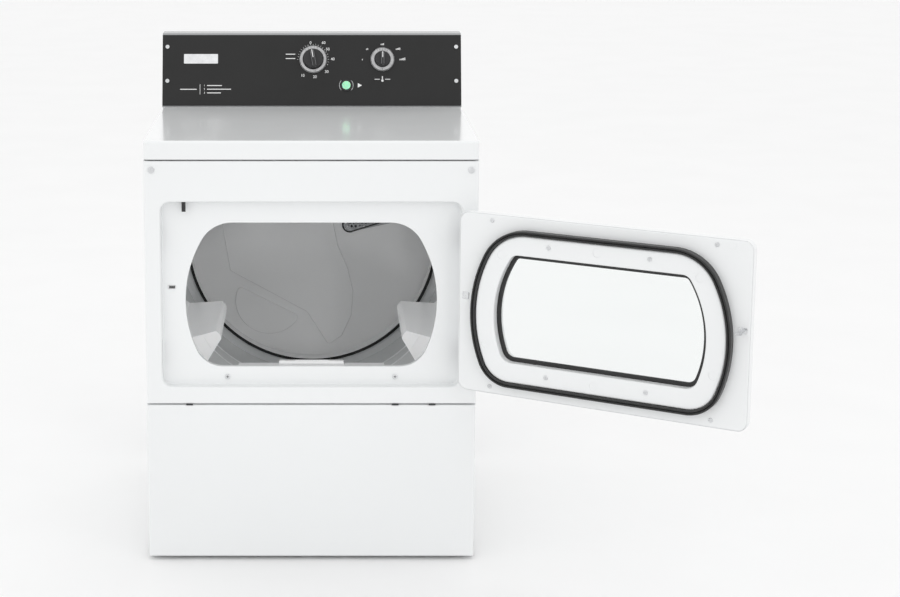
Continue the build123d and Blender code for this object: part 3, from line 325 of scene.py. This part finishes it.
def make_materials():
    white = (0.97, 0.975, 0.98)
    return {
        "enamel": enamel("white_enamel", 0.875, 0.3),
        "top_enamel": enamel("worktop_enamel", 0.875, 0.2),
        "drum_enamel": enamel("drum_enamel", 0.9, 0.26),
        "bulkhead": pressed_enamel(),
        # console shell: light grey enamel darkened to a mid grey, partly painted shade that stands in for
        # the grey reflection and dimmer light on its top
        "console_grey": enamel("console_grey", 0.33, 0.34, (0.98, 1.0, 1.02)),
        "fascia": fascia(),
        "zinc": galvanised(),
        "steel": sheet_metal("bright_steel", (0.5, 0.51, 0.52), (0.72, 0.73, 0.74), 0.26),
        "dark_steel": sheet_metal("grille_steel", (0.22, 0.225, 0.23), (0.36, 0.37, 0.38), 0.4),
        "drawn": sheet_metal("drawn_aluminium", (0.66, 0.67, 0.68), (0.8, 0.81, 0.82), 0.3,
                             (1, 0.05, 1)),
        "chrome": sheet_metal("ring_silver", (0.74, 0.75, 0.76), (0.86, 0.87, 0.88), 0.2,
                              grain=800.0),
        "wire": sheet_metal("element_wire", (0.16, 0.15, 0.15), (0.32, 0.3, 0.28), 0.5),
        "casting": sheet_metal("motor_casting", (0.2, 0.21, 0.22), (0.34, 0.35, 0.36), 0.55),
        # real black plastic of the knobs, clips and lever, and also the painted shadow strips beside the
        # hinge leaves
        "black_plastic_and_shadow": plastic("black_plastic_and_shadow", (0.014, 0.014, 0.015), (0.022, 0.022, 0.024), 0.36),
        "gloss_black": plastic("gloss_black", (0.01, 0.01, 0.011), (0.016, 0.016, 0.017), 0.18,
                               1200.0, 0.00003),
        "white_plastic": plastic("white_plastic", shade(0.76, white), shade(0.84, white), 0.4),
        "grey_plastic": plastic("grey_plastic", shade(0.5), shade(0.6), 0.45),
        "filter_plastic": plastic("filter_plastic", shade(0.88, white), shade(0.93, white), 0.36),
        "baffle": milky_plastic(),
        "rubber": rubber("seal_rubber", 0.014, 0.5),
        "foot_rubber": rubber("foot_rubber", 0.03, 0.75),
        "felt": felt(),
        "glass": clear_glass(),
        "green": green_lens(),
        "white_ink": print_ink("white_ink", (0.9, 0.9, 0.9)),
        # painted highlight: grey ink for the lit edges of the knobs' finger bars
        "edge_highlight_ink": print_ink("edge_highlight_ink", (0.2, 0.2, 0.205)),
        # tick marks print in this dark ink, and it is also the painted shadow in the screw slots
        "tick_and_slot_shadow_ink": print_ink("tick_and_slot_shadow_ink", (0.12, 0.12, 0.12)),
        "ring": ring_silver(),
        "screw": sheet_metal("screw_steel", (0.62, 0.63, 0.64), (0.8, 0.81, 0.82), 0.3),
        "screen": mesh_screen(),
    }


NODE_MATERIAL = {
    "enamel": ("side_panel_left", "side_panel_right", "front_panel", "toe_panel", "door_outer_panel",
               "door_inner_panel", "door_window_frame"),
    "top_enamel": ("top_panel",),
    "drum_enamel": ("drum_shell",),
    "bulkhead": ("rear_bulkhead", "front_bulkhead"),
    # the console shell takes the mid grey that is partly painted shade
    "console_grey": ("console_shell",),
    "fascia": ("console_face",),
    "zinc": ("base_pan", "rear_panel", "console_back_cover", "heater_box", "terminal_cover", "idler_arm"),
    "steel": ("roller_shafts", "motor_shaft", "cabinet_hinge_leaves", "door_hinge_leaves", "door_strike"),
    "screw": ("cabinet_screws", "door_screws"),
    "dark_steel": ("inlet_grille",),
    "drawn": ("exhaust_duct",),
    "wire": ("heater_element",),
    "casting": ("motor",),
    "black_plastic_and_shadow": ("timer_knob", "temperature_knob", "door_switch_lever"),
    "gloss_black": ("start_switch",),
    "white_plastic": ("door_catch", "idler_pulley", "outlet_grille"),
    "grey_plastic": ("lint_duct", "blower_housing", "blower_wheel", "timer", "temperature_switch",
                     "terminal_block", "door_switch"),
    "filter_plastic": ("lint_filter",),
    "baffle": ("baffle_top", "baffle_left", "baffle_right"),
    "rubber": ("door_gasket", "door_glass_seal", "drive_belt", "drum_roller_left", "drum_roller_right"),
    "foot_rubber": ("foot_front_left", "foot_front_right", "foot_rear_left", "foot_rear_right"),
    "felt": ("drum_seals",),
    "glass": ("door_glass",),
    "green": ("start_button",),
}


def dress_nodes(materials):
    for key, names in NODE_MATERIAL.items():
        for name in names:
            for place in NODES[name].material_slots:
                place.material = materials[key]


# ---------------------------------------------------------------- mesh helpers
INK_LIFT = 0.00002
INK_THICK = 0.00008


def new_mesh(name, points, faces):
    mesh = bpy.data.meshes.new(name)
    mesh.from_pydata([tuple(point) for point in points], [], faces)
    mesh.update()
    made = bpy.data.objects.new(name, mesh)
    bpy.context.collection.objects.link(made)
    return made


def place_piece(piece, material, body="cabinet"):
    piece.data.materials.append(MATERIALS[material])
    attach(piece, body)


def console_place(x, up, out=0.0, turn=0.0):
    """Matrix on the leaning console face: local Z points out of it and local Y up it."""
    rise = (CONSOLE_HEAD - CONSOLE_FOOT).normalized()
    right = Vector((1.0, 0.0, 0.0))
    outwards = right.cross(rise)
    spot = CONSOLE_FOOT + right * x + rise * up + outwards * out
    turned = Matrix((right, rise, outwards)).transposed().to_4x4()
    return Matrix.Translation(spot) @ turned @ Matrix.Rotation(math.radians(turn), 4, "Z")


def lathe(name, profile, place, segments=72):
    """Closed ring turned about the local Z axis of a place, from (radius, height) corners."""
    points, faces = [], []
    count = len(profile)
    for step in range(segments):
        angle = 2 * math.pi * step / segments
        for radius, height in profile:
            points.append(place @ Vector((radius * math.cos(angle), radius * math.sin(angle), height)))
        for corner in range(count):
            a, b = step * count + corner, step * count + (corner + 1) % count
            c = ((step + 1) % segments) * count
            faces.append((a, c + corner, c + (corner + 1) % count, b))
    return new_mesh(name, points, faces)


def rounded_outline(wide, tall, corner, steps=6):
    """Corners of a rounded rectangle about the origin, anticlockwise."""
    outline = []
    for quarter, (sx, sy) in enumerate(((1, 1), (-1, 1), (-1, -1), (1, -1))):
        for step in range(steps + 1):
            angle = math.pi / 2 * (quarter + step / steps)
            outline.append((sx * (wide / 2 - corner) + corner * math.cos(angle),
                            sy * (tall / 2 - corner) + corner * math.sin(angle)))
    return outline


def slab(outlines, thick):
    """Points and faces of flat plates, each an outline in local x and y with a height to stand at."""
    points, faces = [], []
    for outline, at in outlines:
        start, count = len(points), len(outline)
        points += [Vector((x, y, at)) for x, y in outline]
        points += [Vector((x, y, at + thick)) for x, y in outline]
        faces.append(tuple(range(start + count - 1, start - 1, -1)))
        faces.append(tuple(range(start + count, start + 2 * count)))
        for k in range(count):
            follow = (k + 1) % count
            faces.append((start + k, start + follow, start + count + follow, start + count + k))
    return points, faces


def flat_plate(name, outline, thick, place, material, at=0.0):
    """One plate of a given outline, standing on a place of the cabinet."""
    points, faces = slab([(outline, at)], thick)
    place_piece(new_mesh(name, [place @ point for point in points], faces), material)


def printed(name, marks, place, material, thick=INK_THICK, body="cabinet"):
    """One film of ink made of rounded bars, each (x, y, wide, tall, turn)."""
    outlines = []
    for x, y, wide, tall, turn in marks:
        along, across = math.cos(math.radians(turn)), math.sin(math.radians(turn))
        shape = rounded_outline(wide, tall, min(wide, tall) * 0.3, 3)
        turned = [(x + a * along - b * across, y + a * across + b * along) for a, b in shape]
        outlines.append((turned, INK_LIFT))
    points, faces = slab(outlines, thick)
    piece = new_mesh(name, [place @ point for point in points], faces)
    place_piece(piece, material, body)


def numeral(name, text, place, size):
    """Printed number, as a solid film."""
    curve = bpy.data.curves.new(name, "FONT")
    curve.body = text
    curve.size = size
    curve.align_x = "CENTER"
    curve.align_y = "CENTER"
    curve.extrude = 0.00005
    curve.offset = size * 0.009
    made = bpy.data.objects.new(name, curve)
    bpy.context.collection.objects.link(made)
    made.matrix_world = place
    place_piece(made, "white_ink")


# ---------------------------------------------------------------- console details
def knob_ring(name, spot, turn, outer, inner, body):
    """Brushed silver trim that caps the knob's skirt, with a lens-like chamfer at each edge."""
    profile = [(outer, 0.0010), (outer, 0.0042), (outer - 0.0022, 0.0064), (inner + 0.0008, 0.0066),
               (inner, 0.0060), (inner, 0.0054), (outer - 0.0025, 0.0058), (outer - 0.0003, 0.0038),
               (outer - 0.0003, 0.0010)]
    ring = lathe(name, profile, console_place(*spot, 0.0, turn), 96)
    place_piece(ring, "ring", body)
    marks = []
    for turn_by in (-30, -15, 0, 15, 30, 180):
        angle = math.radians(90 + turn_by)
        middle = (outer + inner) / 2
        marks.append((middle * math.cos(angle), middle * math.sin(angle), (outer - inner) * 0.5, 0.0007,
                      90 + turn_by))
    place = console_place(*spot, 0.0066, turn)
    printed(f"{name}_marks", marks, place, "tick_and_slot_shadow_ink", 0.0001, body)


def knob_pointer(name, spot, turn, reach, half_bar, body):
    """White line down the front half of the finger bar, and painted highlights: grey ink along both edges
    of the black bar, where light catches them.
    """
    place = console_place(*spot, 0.0281, turn)
    printed(name, [(0.0, reach * 0.56, 0.0018, reach, 0.0)], place, "white_ink", 0.00012, body)
    # painted highlights: grey strips along the bar's two edges stand in for light caught there
    edge_highlights = [(side * half_bar, 0.0, 0.0009, reach * 2.0, 0.0) for side in (-1, 1)]
    printed(f"{name}_edges", edge_highlights, place, "edge_highlight_ink", 0.00012, body)


def dial_marks():
    """Numbers round the timer, and level bars round the temperature knob."""
    x, up = TIMER
    for text, dx, dy in (("0", -0.006, 0.0385), ("60", 0.024, 0.0385), ("50", 0.0335, 0.0235),
                         ("40", 0.045, 0.0005), ("30", 0.031, -0.0285), ("20", 0.004, -0.0405),
                         ("10", -0.024, -0.0375)):
        numeral(f"timer_number_{text}", text, console_place(x + dx, up + dy, 0.0001), 0.0088)
    ticks = []
    for angle in range(-100, 101, 10):
        reach = 0.0345 if angle % 20 else 0.0352
        turn = 90 - angle - 10
        ticks.append((reach * math.cos(math.radians(turn)), reach * math.sin(math.radians(turn)),
                      0.0026, 0.0007, turn))
    printed("timer_ticks", ticks, console_place(x, up), "white_ink")
    bars = [(-0.052, rise, 0.022, 0.0018, 0) for rise in (0.012, 0.002)]
    printed("timer_bars", bars, console_place(x, up), "white_ink")
    x, up = TEMPERATURE
    levels = []
    for step, (dx, dy) in enumerate(((-0.046, 0.0), (-0.035, 0.024), (0.0, 0.035), (0.036, 0.024),
                                     (0.046, 0.0))):
        for bar in range(step + 1):
            tall = 0.0030 + 0.0008 * bar
            levels.append((dx + 0.0028 * (bar - step / 2), dy + tall / 2 - 0.002, 0.0017, tall, 0))
    printed("temperature_levels", levels, console_place(x, up), "white_ink")
    stem = [(0.0, -0.0435, 0.0022, 0.009, 0), (0.0, -0.049, 0.005, 0.005, 0),
            (-0.012, -0.046, 0.012, 0.0014, 0), (0.012, -0.046, 0.012, 0.0014, 0)]
    printed("thermometer_mark", stem, console_place(x, up), "white_ink")


def start_mark():
    """Plain triangle beside the start button, and two bright arcs beside its bezel."""
    arcs = []
    for angle in [*range(-40, 41, 8), *range(140, 221, 8)]:
        turn = math.radians(angle)
        arcs.append((0.0158 * math.cos(turn), 0.0158 * math.sin(turn), 0.0007, 0.0024, angle))
    printed("start_arcs", arcs, console_place(*START), "chrome")
    place = console_place(START[0] + 0.031, START[1])
    triangle = [(-0.0045, -0.0052), (0.0052, 0.0), (-0.0045, 0.0052)]
    flat_plate("start_triangle", triangle, INK_THICK, place, "white_ink", INK_LIFT)


def steps_mark():
    """Three numbered steps beside an upright rule."""
    printed("steps_rule", [(-0.2565, 0.0375, 0.0009, 0.0235, 0), (-0.283, 0.0375, 0.038, 0.0019, 0)],
            console_place(0, 0), "white_ink")
    for row, wide in enumerate((0.034, 0.055, 0.032)):
        up = 0.0462 - 0.0085 * row
        numeral(f"step_number_{row + 1}", str(row + 1), console_place(-0.2465, up, 0.0001), 0.0055)
        printed(f"step_bar_{row + 1}", [(-0.2405 + wide / 2, up, wide, 0.0019, 0)], console_place(0, 0),
                "white_ink")


def badge():
    """Blank brushed plate with square ends and no mark on it."""
    place = console_place(-0.2545, 0.108)
    flat_plate("badge_plate", rounded_outline(0.078, 0.022, 0.0015), 0.0012, place, "chrome")


# ---------------------------------------------------------------- cabinet details
def facing(x, y, z, towards):
    """Matrix whose local Z points along -Y (front) or +Y (back)."""
    turn = {"front": 90, "back": -90}[towards]
    return Matrix.Translation((x, y, z)) @ Matrix.Rotation(math.radians(turn), 4, "X")


def rear_screws():
    """Hexagon washer-head screws round the rear panel."""
    washer_profile = [(0.0001, 0.0), (0.0062, 0.0), (0.0062, 0.0006), (0.0040, 0.0012),
                      (0.0001, 0.0012)]
    head_profile = [(0.0001, 0.0011), (0.0040, 0.0011), (0.0040, 0.0040), (0.0034, 0.0046),
                    (0.0001, 0.0046)]
    spots = [(sx * 0.334, z) for sx in (-1, 1) for z in (0.06, 0.3, 0.56, 0.8)]
    spots += [(x, 0.848) for x in (-0.22, 0.0, 0.22)]
    for index, (x, z) in enumerate(spots):
        place = facing(x, BACK_Y, z, "back")
        place_piece(lathe(f"rear_washer_{index}", washer_profile, place, 32), "steel")
        place_piece(lathe(f"rear_screw_{index}", head_profile, place, 6), "steel")


def screw_slots():
    """Painted shadow: a dark ink film on the floor of the crossed driver slots in the recess screws."""
    for name, x in (("left", -0.175), ("right", 0.175)):
        place = facing(x, SLOT_FLOOR_Y, 0.396, "front")
        # painted shadow: a dark cross of ink where the driver slots fall in shade
        cross = [(0.0, 0.0, 0.0058, 0.00135, turn) for turn in (0, 90)]
        printed(f"screw_slot_shadow_{name}", cross, place, "tick_and_slot_shadow_ink")


def toe_clips():
    """Dark spring clips that show in the gap over the toe panel."""
    for name, x in (("left", -0.254), ("right", 0.175), ("end", 0.252)):
        place = facing(x, FRONT_Y + 0.0012, 0.34175, "front")
        outline = rounded_outline(0.014, 0.0026, 0.0006)
        flat_plate(f"toe_clip_{name}", outline, 0.0016, place, "black_plastic_and_shadow")


def hinge_shadow_lines():
    """Painted shadow: a thin black strip beside each hinge leaf, standing in for the shade in the gap
    that the closed door leaves there.
    """
    for name, z in (("lower", 0.446), ("upper", 0.695)):
        # painted shadow: black strips where the hinge gaps fall in shade
        place = facing(0.3058, FRONT_Y, z, "front")
        outline = rounded_outline(0.0012, 0.046, 0.0005)
        flat_plate(f"hinge_shadow_strip_{name}", outline, 0.0003, place, "black_plastic_and_shadow", 0.00005)


def filter_screen():
    """Woven screen in the lint filter's six windows."""
    points, faces = [], []
    pitch, half = 0.002, 0.00016

    def thread(low_x, high_x, low_z, high_z, y):
        start = len(points)
        for x in (low_x, high_x):
            for z in (low_z, high_z):
                for depth in (y - half, y + half):
                    points.append(Vector((x, depth, z)))
        for face in ((0, 1, 3, 2), (4, 6, 7, 5), (0, 4, 5, 1), (2, 3, 7, 6), (0, 2, 6, 4), (1, 5, 7, 3)):
            faces.append(tuple(start + k for k in face))

    for low, high in ((0.212, 0.274), (0.280, 0.342), (0.348, 0.408)):
        for left in (-0.058, 0.004):
            right = left + 0.054
            for k in range(1, int((right - left) / pitch)):
                x = left + k * pitch
                thread(x - half, x + half, low - 0.0005, high + 0.0005, FILTER_Y - 0.0031)
            for k in range(1, int((high - low) / pitch)):
                z = low + k * pitch
                thread(left - 0.0005, right + 0.0005, z - half, z + half, FILTER_Y - 0.0033)
    place_piece(new_mesh("filter_screen", points, faces), "screen", "filter")


def inlet_bead():
    """Black bead round the hot-air inlet in the drum's back wall."""
    reach, axis_z = 0.2735, 0.570
    left, low = 0.0735, 0.5805
    tilt, round_off = 12.5, 0.016
    arc = []
    first = math.asin(left / reach)
    last = math.radians(90) - math.asin(0.0695 / reach)
    for step in range(25):
        angle = first + (last - first) * step / 24
        arc.append((reach * math.sin(angle), axis_z + reach * math.cos(angle)))
    corner = []
    for step in range(9):
        angle = math.radians(180 + (90 + tilt) * step / 8)
        corner.append((left + round_off + round_off * math.cos(angle),
                       low + 0.0195 + round_off * math.sin(angle)))
    curve = bpy.data.curves.new("inlet_bead", "CURVE")
    curve.dimensions = "3D"
    curve.bevel_depth = 0.0017
    curve.bevel_resolution = 3
    line = curve.splines.new("POLY")
    path = arc[::-1] + corner
    line.points.add(len(path) - 1)
    for point, (x, z) in zip(line.points, path):
        point.co = (x, REAR_WALL_Y - 0.0022, z, 1.0)
    line.use_cyclic_u = True
    bead = bpy.data.objects.new("inlet_bead", curve)
    bpy.context.collection.objects.link(bead)
    place_piece(bead, "rubber")


make_camera()
MATERIALS = make_materials()
make_studio()
dress_nodes(MATERIALS)
knob_ring("timer_ring", TIMER, 10.0, 0.0318, 0.0235, "timer_dial")
knob_ring("temperature_ring", TEMPERATURE, 0.0, 0.0275, 0.0182, "temperature_dial")
knob_pointer("timer_pointer", TIMER, 10.0, 0.018, 0.0038, "timer_dial")
knob_pointer("temperature_pointer", TEMPERATURE, 0.0, 0.0135, 0.0028, "temperature_dial")
dial_marks()
start_mark()
steps_mark()
badge()
rear_screws()
screw_slots()
toe_clips()
hinge_shadow_lines()
filter_screen()
inlet_bead()
